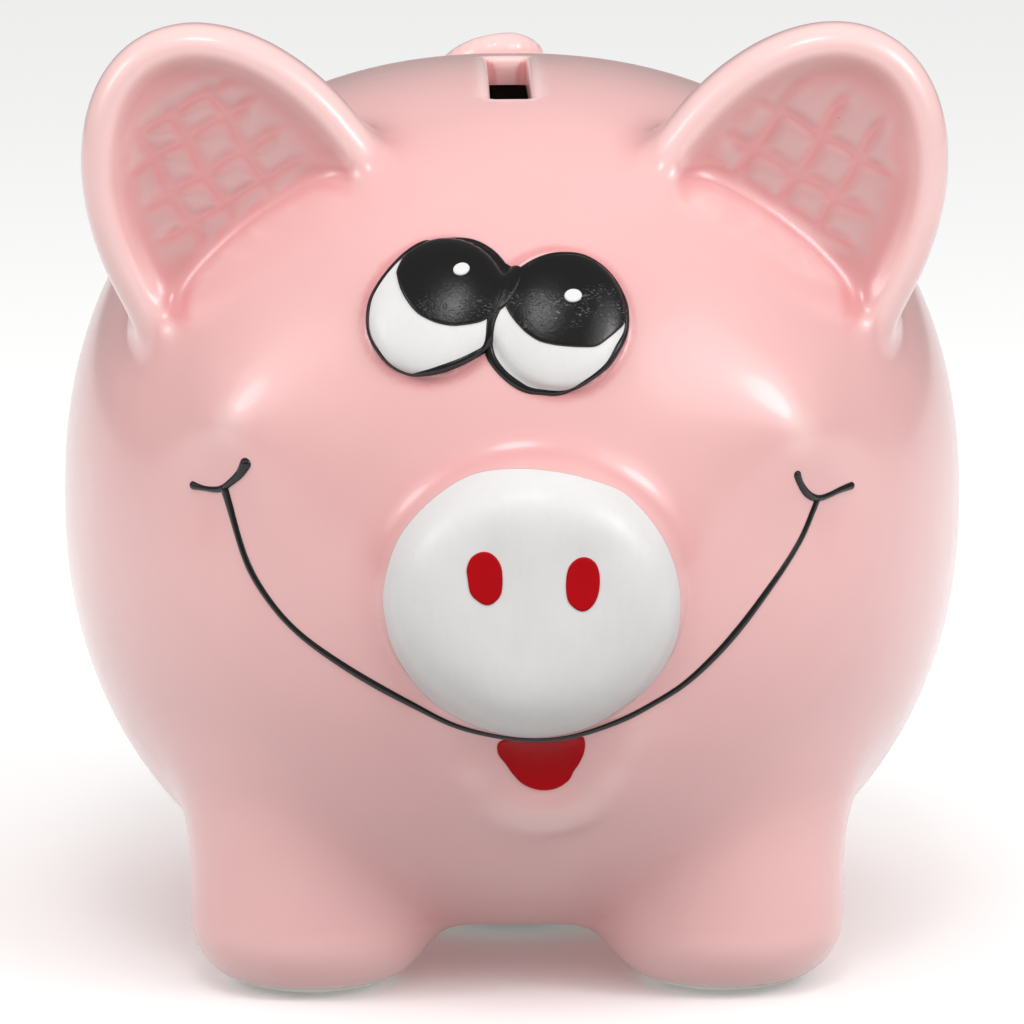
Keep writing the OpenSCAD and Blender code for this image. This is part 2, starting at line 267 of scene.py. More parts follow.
@dataclass
class Ear:
    """A thick ear with a rolled rim round a floor that is scored like a waffle."""

    side: Side
    slab: Lump
    head: Lump
    hollow: Points = table(17.2, 27.9)
    floor: float = 2.4
    rim_reach: float = 5.5
    floor_reach: float = 9.5
    lines_up: tuple[float, ...] = (-7.2, -1.4, 5.0)
    lines_across: tuple[float, ...] = (5.6, 11.2, 16.3, 20.8)
    faded: tuple[float, float] = (-8.5, 7.5)
    score_depth: float = 0.42
    score_width: float = 0.8

    def near(self, points: Points) -> Points:
        """Which points are close enough to the ear to matter."""
        return np.linalg.norm(points - self.slab.middle, axis=1) < 48

    def inside_outline(self, local: Points) -> Points:
        """How far each point is outside the hollow's outline, whatever its depth."""
        x, y = local[:, 0] / self.hollow[0], local[:, 1] / self.hollow[1]
        gauge = np.hypot(x, y) + TINY
        slope = np.hypot(x / self.hollow[0], y / self.hollow[1]) / gauge
        return (gauge - 1) / slope

    def scoring(self, local: Points) -> Points:
        """How deep in a scored line each point is, from nought to one."""
        x, y = local[:, 0], local[:, 1]
        wave = 0.25 * np.sin(0.55 * y + self.side.value) + 0.2 * np.sin(0.8 * x)
        clear = np.ones(len(local))
        for line in self.lines_up:
            strength = bell(np.maximum(np.abs(y - 11) - 8.5, 0), 1.6)
            clear *= 1 - strength * bell(x - line - wave, self.score_width)
        for line in self.lines_across:
            out = np.maximum(x - self.faded[1], self.faded[0] - x)
            strength = bell(np.maximum(out, 0), 2.2)
            strength = strength * (0.75 if line > 20 else 1.0)
            clear *= 1 - strength * bell(y - line - wave, self.score_width)
        off_head = step_up(self.head.distance(self.slab.world(local)), 0.6, 3.6)
        return (1 - clear) * off_head * step_up(-self.inside_outline(local), 2.0, 7.0)

    def distance(self, points: Points) -> Points:
        """How far each point is outside the ear."""
        local = self.slab.local(points)
        hollow = smooth_max(self.inside_outline(local), self.floor - local[:, 2], self.floor_reach)
        carved = smooth_max(self.slab.distance(points), -hollow, self.rim_reach)
        front = step_up(local[:, 2], -1.0, 1.0)
        return carved + self.score_depth * self.scoring(local) * front

    def fillet(self, points: Points) -> Points:
        """How far the corner between the ear and the head is filled."""
        local = self.slab.local(points)
        inside = step_up(-self.inside_outline(local), -5.0, 6.0) * step_up(local[:, 2], -3.0, 3.0)
        return 7.0 - 3.2 * inside


@dataclass
class Tail:
    """A curl that lies on the rump and climbs away from it as it goes round."""

    foot: Points
    outward: Points
    thick: float = 7.6
    curl: float = 14.0
    turn: float = 410.0
    steps: int = 40

    def __post_init__(self) -> None:
        """Works out the points that the curl runs through, and its radii."""
        across = np.array([1.0, 0, 0])
        up = np.cross(across, self.outward)
        angle = np.linspace(0, self.turn, self.steps)[:, None]
        turn = np.radians(angle)
        self.path = (self.foot + self.curl / 2 * (np.sin(turn) * across + np.cos(turn) * up)
                     + self.outward * self.thick * (angle / 360 - 0.15))
        share = np.linspace(0, 1, self.steps)
        self.radii = self.thick / 2 * (1 - 0.28 * share) * np.sqrt(1 - np.clip(share - 0.93, 0, 1) * 8)

    def near(self, points: Points) -> Points:
        """Which points are close enough to the tail to matter."""
        return np.linalg.norm(points - self.foot, axis=1) < 26

    def distance(self, points: Points) -> Points:
        """How far each point is outside the tail."""
        best = np.full(len(points), FAR)
        for start, stop, wide, thin in zip(self.path[:-1], self.path[1:], self.radii[:-1], self.radii[1:]):
            along = stop - start
            share = np.clip((points - start) @ along / (along @ along), 0, 1)
            gap = np.linalg.norm(points - start - share[:, None] * along, axis=1)
            best = smooth_min(best, gap - wide - (thin - wide) * share, 0.3)
        return best

    def rough(self, shape: bmesh.types.BMesh) -> None:
        """Adds the tail to a mesh as a chain of small balls."""
        for place, radius in zip(self.path, self.radii):
            bmesh.ops.create_icosphere(shape, subdivisions=2, radius=radius,
                                       matrix=Matrix.Translation(place))


@dataclass
class Swell:
    """A soft rise, or with a negative height a dent, in the skin."""

    place: Points
    height: float
    width: float

    def lift(self, points: Points) -> Points:
        """How far the skin rises at each point."""
        return self.height * bell(np.linalg.norm(points - self.place, axis=1), self.width)


# ---- The casting ----


@dataclass
class Casting:
    """The glazed body, with its snout, lip, ears, legs, tail, coin slot and stopper hole."""

    middle: Points
    half: Points = table(66.6, 80.0, 65.0)
    belly: float = 5.4
    wall: float = 4.2
    bare: float = 1.2
    slot: Points = table(2.9, 15.5)
    slot_place: Points = table(-0.7, -14.0)
    hole: float = 15.0
    leg_spread: Points = table(29.7, 42.0)
    leg_fillet: float = 10.0
    belly_edge: float = 5.5
    snout_fillet: float = 7.5
    eye_fillet: float = 1.8
    eye_meeting: float = 2.6
    tail_fillet: float = 3.0
    slot_corner: float = 0.9
    slot_lip: float = 2.0
    hole_lip: float = 0.9
    voxel: float = 1.45
    lip_ridge: Points = table(
        (-7.2, -15.3), (-5.2, -20.3), (-2.8, -24.4), (-0.2, -25.8), (2.2, -26.2), (4.7, -25.8),
        (7.2, -24.2), (9.4, -20.8), (11.2, -16.2))

    def __post_init__(self) -> None:
        """Places every form on the body."""
        self.body = Lump(self.middle, self.half, 2.25, 2.25, 2.15)
        self.legs = [Leg(self.middle + [side.value * self.leg_spread[0], end.value * self.leg_spread[1], 0])
                     for end in End for side in Side]
        self.snout = Lump(self.middle + [1.2, -66.2, -2.0], np.array([20.7, 18.7, 22.3]), 2.0, 4.6,
                          axes=np.array([[1.0, 0, 0], [0, 0, -1.0], [0, 1.0, 0]]))
        self.eyes = []
        for heading, spin in (([-9.8, 27.6], -14.0), ([4.1, 26.3], -5.0)):
            place, axes = self.body.seat(heading, spin)
            self.eyes.append(Lump(place, np.array([9.1, 10.4, 2.6]), axes=axes))
        self.ears = [self.ear(side) for side in Side]
        place, axes = self.body.seat([181.0, 45.0])
        self.tail = Tail(place, axes[:, 2])
        self.swells = self.modelling()

    def ear(self, side: Side) -> Ear:
        """One ear in its place, leaning outwards."""
        heading = np.array([side.value * 41.0 - 0.6, 38.0])
        place = self.body.surface(heading) - 2.9 * aim(heading)
        lean = math.radians(-side.value * 30.4)
        along, aside = math.cos(lean), math.sin(lean)
        axes = np.array([[along, -aside, 0], [0, 0, -1], [aside, along, 0]])
        slab = Lump(place, np.array([21.4, 32.1, 8.5]), 2.0, 3.0, axes=axes)
        if side is Side.LEFT:
            return Ear(side, slab, self.body)
        return Ear(side, slab, self.body, lines_up=(-8.4, -1.3, 4.9), lines_across=(3.6, 8.9, 15.2),
                   faded=(-13.0, 6.5))

    def modelling(self) -> list[Swell]:
        """The cheeks, the dimples, the dents round the nostrils and the lip with its ridge."""
        on_face = self.body.surface
        snout = self.snout.world
        return [
            Swell(on_face([-30.5, 15.5]), 2.6, 8.0),
            Swell(on_face([29.6, 15.0]), 2.6, 8.0),
            Swell(on_face([-31.0, 14.6]), 0.8, 2.7),
            Swell(on_face([29.0, 13.6]), 0.8, 2.7),
            Swell(on_face([-34.0, 5.5]), -0.9, 5.0),
            Swell(on_face([33.0, 4.5]), -0.9, 5.0),
            Swell(snout(np.array([-6.6, 7.3, 22.3])), -0.45, 2.2),
            Swell(snout(np.array([6.6, 6.4, 22.3])), -0.45, 2.2),
            Swell(snout(np.array([-6.6, 3.0, 22.3])), -0.35, 3.0),
            Swell(snout(np.array([6.6, 2.0, 22.3])), -0.35, 3.0),
            Swell(on_face([1.9, -19.0]), 1.9, 8.5),
            Swell(on_face([1.9, -20.5]), -1.0, 4.2),
            *(Swell(on_face(heading), 0.85, 3.2) for heading in self.lip_ridge),
        ]

    def solid(self, points: Points) -> Points:
        """How far each point is outside the casting before its openings are cut."""
        form = self.body.distance(points)
        form = smooth_max(form, self.belly - points[:, 2], self.belly_edge)
        low = points[:, 2] < self.middle[2]
        for leg in self.legs:
            form[low] = smooth_min(form[low], leg.distance(points[low]), self.leg_fillet)
        face = points[:, 1] < self.middle[1] - 30
        ahead = points[face]
        part = smooth_min(form[face], self.snout.distance(ahead), self.snout_fillet)
        domes = smooth_min(self.eyes[0].distance(ahead), self.eyes[1].distance(ahead), self.eye_meeting)
        part = smooth_min(part, domes, self.eye_fillet)
        for swell in self.swells:
            part = part - swell.lift(ahead)
        form[face] = part
        for ear in self.ears:
            near = ear.near(points)
            form[near] = smooth_min(form[near], ear.distance(points[near]), ear.fillet(points[near]))
        near = self.tail.near(points)
        form[near] = smooth_min(form[near], self.tail.distance(points[near]), self.tail_fillet)
        return form

    def slot_cut(self, points: Points) -> Points:
        """How far each point is outside the coin slot."""
        beyond = np.abs(points[:, :2] - self.middle[:2] - self.slot_place) - self.slot + self.slot_corner
        corner = np.hypot(np.maximum(beyond[:, 0], 0), np.maximum(beyond[:, 1], 0))
        sides = corner + np.minimum(beyond.max(axis=1), 0) - self.slot_corner
        return np.where(points[:, 2] > self.middle[2], sides, FAR)

    def hole_cut(self, points: Points) -> Points:
        """How far each point is outside the stopper's hole."""
        sides = np.linalg.norm(points[:, :2] - self.middle[:2], axis=1) - self.hole
        return np.where(points[:, 2] < self.belly + 15, sides, FAR)

    def distance(self, points: Points) -> Points:
        """How far each point is outside the finished skin."""
        form = smooth_max(self.solid(points), -self.slot_cut(points), self.slot_lip)
        form = smooth_max(form, -self.hole_cut(points), self.hole_lip)
        return smooth_max(form, self.bare - points[:, 2], 0.5)

    def slope(self, points: Points) -> Points:
        """The outward direction at each point, as long as the field is steep."""
        step = 0.03
        corners = np.array([[1, 1, 1], [1, -1, -1], [-1, 1, -1], [-1, -1, 1.0]])
        parts = [corner * self.distance(points + step * corner)[:, None] for corner in corners]
        return sum(parts) / (4 * step)

    def settle(self, points: Points, rounds: int = 4, stride: float = 1.2) -> Points:
        """Moves points straight onto the skin.

        Args:
            points: The points to move.
            rounds: How many times to correct them.
            stride: The furthest that one correction goes.

        Returns:
            The moved points.
        """
        for _ in range(rounds):
            slope = self.slope(points)
            steep = np.maximum((slope**2).sum(axis=1), 0.2)
            move = -slope * (self.distance(points) / steep)[:, None]
            length = np.linalg.norm(move, axis=1, keepdims=True)
            points = points + move * np.minimum(1, stride / np.maximum(length, TINY))
        return points

    def meet(self, start: Points, way: Points, length: float) -> Points:
        """Where straight lines first meet the skin.

        Args:
            start: Where each line starts, outside the skin.
            way: Each line's direction.
            length: How far to look.

        Returns:
            The meeting points.
        """
        reach = np.zeros(len(start))
        for _ in range(28):
            gap = self.distance(start + way * reach[:, None])
            reach = np.minimum(reach + 0.8 * gap, length)
        return start + way * reach[:, None]

    def carry(self, outline: Points, outlook: Outlook) -> Points:
        """Puts flat outline points on the skin.

        Args:
            outline: Two numbers a row.
            outlook: What the two numbers mean.

        Returns:
            The places on the skin.
        """
        outline = np.asarray(outline, float)
        if outlook is Outlook.FROM_FRONT:
            start = np.column_stack([outline[:, 0], np.full(len(outline), -97.0), outline[:, 1]])
            way = np.tile([0, 1.0, 0], (len(outline), 1))
            return self.meet(start + self.middle, way, 40)
        way = aim(outline)
        return self.meet(self.middle + way * 102, -way, 60)

    # -- the mesh --

    def rough_outside(self) -> bpy.types.Mesh:
        """A closed mesh near the outer skin, with pits where the openings are."""
        shape = bmesh.new()
        self.body.rough(shape, 96)
        for vertex in shape.verts:
            vertex.co.z = max(vertex.co.z, self.belly)
        body = mesh_piece("rough_body", shape)
        slot = bmesh.new()
        place = Matrix.Translation((*(self.middle[:2] + self.slot_place), self.middle[2] + 90))
        size = Matrix.Diagonal((2 * self.slot[0], 2 * self.slot[1], 70, 1))
        bmesh.ops.create_cube(slot, size=1, matrix=place @ size)
        cut(body, mesh_piece("rough_slot", slot))
        hole = bmesh.new()
        place = Matrix.Translation((*self.middle[:2], self.belly))
        bmesh.ops.create_cone(hole, cap_ends=True, segments=64, radius1=self.hole, radius2=self.hole,
                              depth=2 * (self.wall + 3), matrix=place)
        cut(body, mesh_piece("rough_hole", hole))
        rest = bmesh.new()
        rest.from_mesh(body.data)
        for part in (self.snout, *self.eyes, *(ear.slab for ear in self.ears)):
            part.rough(rest, 48)
        for leg in self.legs:
            leg.rough(rest)
        self.tail.rough(rest)
        bpy.data.objects.remove(body)
        return remeshed("rough_skin", rest, self.voxel)

    def rough_chamber(self) -> bpy.types.Object:
        """The hollow inside, with its leg pockets."""
        shape = bmesh.new()
        Lump(self.middle, self.half - self.wall, 2.25, 2.25, 2.15).rough(shape, 64)
        for vertex in shape.verts:
            vertex.co.z = max(vertex.co.z, self.belly + self.wall)
        for leg in self.legs:
            depth = self.middle[2] - self.bare - self.wall
            place = Matrix.Translation((*leg.middle[:2], self.bare + self.wall + depth / 2))
            bmesh.ops.create_cone(shape, cap_ends=True, segments=32, radius1=leg.size / 2 - self.wall,
                                  radius2=leg.size / 2 - self.wall, depth=depth, matrix=place)
        mesh = remeshed("chamber", shape, 3.0)
        return linked(bpy.data.objects.new("chamber", mesh))

    def fine(self, places: Points) -> Points:
        """How many times the faces at these places are halved."""
        times = np.zeros(len(places), int)
        for ear in self.ears:
            local = ear.slab.local(places)
            floor = (ear.inside_outline(local) < 1.5) & (local[:, 2] > 0) & (local[:, 2] < 8)
            times[floor & (local[:, 1] > -4)] = 2
            corner = (np.abs(self.body.distance(places)) < 3) & (np.abs(ear.distance(places)) < 3)
            times[corner & (local[:, 2] > -1) & (ear.inside_outline(local) < 2)] = 2
        times[np.abs(self.slot_cut(places)) < 1.8] = 2
        times[self.tail.near(places) & (self.tail.distance(places) < 1.5)] = 1
        ahead = (np.abs(self.snout.distance(places)) < 3) & (places[:, 1] < self.middle[1] - 60)
        times = np.where(ahead, np.maximum(times, 1), times)
        for eye in self.eyes:
            times = np.where(np.abs(eye.distance(places)) < 2.0, np.maximum(times, 1), times)
        return times

    def skin(self) -> bpy.types.Mesh:
        """The outer skin, pulled onto the field and made finer where the detail is."""
        mesh = self.rough_outside()
        LOG.info("rough skin: %d faces", len(mesh.polygons))
        self.pull(mesh, 10)
        for level in (1, 2):
            middles = numbers(mesh.polygons, "center", 3)
            refine(mesh, self.fine(middles) >= level)
            self.pull(mesh, 4)
        LOG.info("fine skin: %d faces", len(mesh.polygons))
        return mesh

    def pull(self, mesh: bpy.types.Mesh, rounds: int) -> None:
        """Evens out a mesh along the skin and moves it onto the skin."""
        places = numbers(mesh.vertices, "co", 3)
        ends = numbers(mesh.edges, "vertices", 2, int)
        count = len(places)
        share = np.bincount(ends.ravel(), minlength=count)[:, None]
        places = self.settle(places, 3, 2.5)
        for _ in range(rounds):
            total = np.column_stack([
                np.bincount(ends[:, 0], places[ends[:, 1], axis], count)
                + np.bincount(ends[:, 1], places[ends[:, 0], axis], count) for axis in range(3)])
            outward = unit(self.slope(places))
            move = total / share - places
            move -= outward * (move * outward).sum(axis=1, keepdims=True)
            places = self.settle(places + 0.6 * move, 1)
        places = self.settle(places, 3)
        mesh.vertices.foreach_set("co", places.astype(np.float32).ravel())
        mesh.update()

    def build(self) -> bpy.types.Object:
        """The whole casting, hollow, with what its glaze needs to know written on it."""
        piece = linked(bpy.data.objects.new("glazed_casting", self.skin()))
        cut(piece, self.rough_chamber())
        mesh = piece.data
        places = numbers(mesh.vertices, "co", 3)
        outside = np.abs(self.distance(places)) < 0.25
        write(mesh, "outside", outside.astype(float))
        bend = self.bend(places)
        write(mesh, "pooled", np.where(outside, self.pooling(places, bend), 0.4))
        floors = self.ear_floor_shade(places)
        write(mesh, "thin", np.where(outside, step_up(bend, 0.06, 0.34) * (1 - floors), 0))
        # painted shade: marks the ears' floors, which the glaze material darkens as if in shadow
        write(mesh, "shade", np.where(outside, floors, 0))
        mesh.shade_smooth()
        normals = np.where(outside[:, None], unit(self.slope(places)), 0)
        mesh.normals_split_custom_set_from_vertices(normals.tolist())
        return finished(piece)

    def bend(self, places: Points) -> Points:
        """How sharply the skin bends at each place: positive on edges and negative in corners."""
        step = 1.1
        total = -6 * self.distance(places)
        for way in np.vstack([np.eye(3), -np.eye(3)]):
            total += self.distance(places + step * way)
        return total / step**2

    def pooling(self, places: Points, bend: Points) -> Points:
        """How thick the glaze has run together at each place."""
        pool = 0.85 * step_up(-bend, 0.0, 0.24)
        for ear in self.ears:
            local = ear.slab.local(places)
            scored = ear.scoring(local) * step_up(local[:, 2], -1, 1) * ear.near(places)
            pool = np.maximum(pool, 0.8 * scored)
        return pool

    def ear_floor_shade(self, places: Points) -> Points:
        """Where the ears' floors are, for painted shade: the glaze there is coloured darker, standing in
        for the shade inside the ears' hollows.
        """
        shade = np.zeros(len(places))
        for ear in self.ears:
            local = ear.slab.local(places)
            deep = step_up(-ear.inside_outline(local), -0.5, 6.0) * (np.abs(local[:, 2] - 4.5) < 5)
            off_head = step_up(self.body.distance(places), 0.3, 2.2)
            shade = np.maximum(shade, deep * off_head * ear.near(places))
        return shade


# ---- Meshes ----


def linked(piece: bpy.types.Object) -> bpy.types.Object:
    """The piece, in the scene."""
    bpy.context.scene.collection.objects.link(piece)
    return piece


def mesh_piece(name: str, shape: bmesh.types.BMesh) -> bpy.types.Object:
    """A new object of a mesh in the making, which is used up."""
    mesh = bpy.data.meshes.new(name)
    shape.to_mesh(mesh)
    shape.free()
    return linked(bpy.data.objects.new(name, mesh))


def spun(profile: Iterable[tuple[float, float]], steps: int) -> bmesh.types.BMesh:
    """A profile of radii and heights turned once round the z axis."""
    shape = bmesh.new()
    row = [shape.verts.new((radius, 0, height)) for radius, height in profile]
    edges = [shape.edges.new(pair) for pair in zip(row, row[1:])]
    bmesh.ops.spin(shape, geom=row + edges, axis=(0, 0, 1), cent=(0, 0, 0), angle=2 * math.pi,
                   steps=steps, use_merge=True)
    bmesh.ops.remove_doubles(shape, verts=shape.verts, dist=1e-5)
    return shape


def settled_mesh(piece: bpy.types.Object) -> bpy.types.Mesh:
    """The mesh of a piece with its modifiers worked out."""
    graph = bpy.context.evaluated_depsgraph_get()
    return bpy.data.meshes.new_from_object(piece.evaluated_get(graph), depsgraph=graph)


def apply_modifiers(piece: bpy.types.Object) -> None:
    """Works the piece's modifiers into its mesh."""
    mesh = settled_mesh(piece)
    piece.modifiers.clear()
    piece.data = mesh


def cut(piece: bpy.types.Object, cutter: bpy.types.Object, operation: str = "DIFFERENCE") -> None:
    """Takes the cutter out of the piece, or joins it on, and removes the cutter."""
    work = piece.modifiers.new("cut", "BOOLEAN")
    work.object = cutter
    work.operation = operation
    work.solver = "EXACT"
    apply_modifiers(piece)
    bpy.data.objects.remove(cutter)


def remeshed(name: str, shape: bmesh.types.BMesh, voxel: float) -> bpy.types.Mesh:
    """One closed mesh round everything in a mesh in the making."""
    piece = mesh_piece(name, shape)
    work = piece.modifiers.new("remesh", "REMESH")
    work.mode = "VOXEL"
    work.voxel_size = voxel
    mesh = settled_mesh(piece)
    bpy.data.objects.remove(piece)
    return mesh


def refine(mesh: bpy.types.Mesh, chosen: Points) -> None:
    """Halves the chosen faces' edges."""
    shape = bmesh.new()
    shape.from_mesh(mesh)
    shape.faces.ensure_lookup_table()
    edges = {edge for index in np.flatnonzero(chosen) for edge in shape.faces[index].edges}
    bmesh.ops.subdivide_edges(shape, edges=sorted(edges, key=lambda edge: edge.index), cuts=1,
                              use_grid_fill=True)
    shape.to_mesh(mesh)
    shape.free()


def numbers(items: Iterable, name: str, width: int, kind: type = float) -> Points:
    """One property of every item of a mesh's collection, a row each."""
    values = np.zeros(len(items) * width, kind)
    items.foreach_get(name, values)
    return values.reshape(-1, width)


def write(mesh: bpy.types.Mesh, name: str, values: Points) -> None:
    """Keeps one number for each vertex under a name."""
    layer = mesh.attributes.new(name, "FLOAT", "POINT")
    layer.data.foreach_set("value", values.astype(np.float32))


def finished(piece: bpy.types.Object) -> bpy.types.Object:
    """Turns a piece made in millimetres into one in metres."""
    piece.data.transform(Matrix.Scale(MM, 4))
    piece.data.update()
    return piece


# ---- Paint ----


@dataclass
class Film:
    """A patch of paint: a thin closed skin on the glaze inside an outline."""

    name: str
    corners: Points
    outlook: Outlook = Outlook.FROM_MIDDLE
    thick: float = 0.22
    around: int = 144
    rings: int = 26
    crowd: float = 1.0
    sunk: float = 0.4

    def build(self, casting: Casting) -> bpy.types.Object:
        """Lays the film on the casting.

        Args:
            casting: What the film lies on.

        Returns:
            The finished piece.
        """
        top = [(1 - (1 - k / self.rings) ** self.crowd, self.thick) for k in range(self.rings)]
        edge = [(0.992, self.thick * 0.9), (1.0, self.thick * 0.4), (1.0, -0.25)]
        shape = spun([*top, *edge, (0.9, -self.sunk), (0.0, -self.sunk)], self.around)
        flat = np.array([vertex.co for vertex in shape.verts])
        places = self.laid(casting, flat)
        for vertex, place in zip(shape.verts, places):
            vertex.co = place
        bmesh.ops.recalc_face_normals(shape, faces=shape.faces)
        piece = mesh_piece(self.name, shape)
        piece.data.shade_smooth()
        return finished(piece)

    def laid(self, casting: Casting, flat: Points) -> Points:
        """Where the points of a flat disc come to lie on the skin."""
        curve = closed_curve(self.corners, 720)
        middle = curve.mean(axis=0)
        share = np.hypot(flat[:, 0], flat[:, 1])
        turn = np.arctan2(flat[:, 1], flat[:, 0]) / (2 * math.pi) % 1
        spot = np.round(turn * len(curve)).astype(int) % len(curve)
        outline = middle + share[:, None] * (curve[spot] - middle)
        places = casting.carry(outline, self.outlook)
        return places + unit(casting.slope(places)) * flat[:, 2:]


@dataclass
class Bead:
    """A line of paint that stands a little proud, drawn along headings on the skin."""

    name: str
    strokes: list[tuple[Points, Points]]
    closed: bool = False
    sink: float = 0.12

    def build(self, casting: Casting) -> bpy.types.Object:
        """Draws the strokes on the casting.

        Args:
            casting: What the line lies on.

        Returns:
            The finished piece.
        """
        curve = bpy.data.curves.new(self.name, "CURVE")
        curve.dimensions = "3D"
        curve.bevel_depth = 1.0
        curve.bevel_resolution = 4
        curve.use_fill_caps = not self.closed
        for headings, radii in self.strokes:
            count = 14 * len(headings)
            trace = closed_curve if self.closed else open_curve
            places = casting.carry(trace(headings, count), Outlook.FROM_MIDDLE)
            places = casting.settle(self.evened(places), 3)
            size = trace(np.asarray(radii, float)[:, None], count)[:, 0]
            places = places - unit(casting.slope(places)) * (self.sink * size[:, None] / 0.5)
            if not self.closed:
                size = size * self.rounded_ends(places, size)
            spline = curve.splines.new("POLY")
            spline.points.add(count - 1)
            spline.use_cyclic_u = self.closed
            for point, place, radius in zip(spline.points, places, size):
                point.co = (*place, 1)
                point.radius = max(radius, 0.05)
        drawn = linked(bpy.data.objects.new(self.name, curve))
        mesh = settled_mesh(drawn)
        bpy.data.objects.remove(drawn)
        shape = bmesh.new()
        shape.from_mesh(mesh)
        bmesh.ops.remove_doubles(shape, verts=shape.verts, dist=1e-5)
        bmesh.ops.recalc_face_normals(shape, faces=shape.faces)
        bpy.data.meshes.remove(mesh)
        piece = mesh_piece(self.name, shape)
        piece.data.shade_smooth()
        return finished(piece)

    def evened(self, places: Points, rounds: int = 12) -> Points:
        """The same line with its small kinks drawn out."""
        for _ in range(rounds):
            middle = (np.roll(places, 1, axis=0) + np.roll(places, -1, axis=0)) / 2
            if not self.closed:
                middle[[0, -1]] = places[[0, -1]]
            places = (places + middle) / 2
        return places

    def rounded_ends(self, places: Points, size: Points) -> Points:
        """How much of the line's width is left near its two ends."""
        length = np.concatenate([[0], np.cumsum(np.linalg.norm(np.diff(places, axis=0), axis=1))])
        inset = np.minimum(length, length[-1] - length) / np.maximum(size, 0.1)
        return np.sqrt(np.clip(1 - (1 - np.minimum(inset, 1)) ** 2, 0.01, 1))


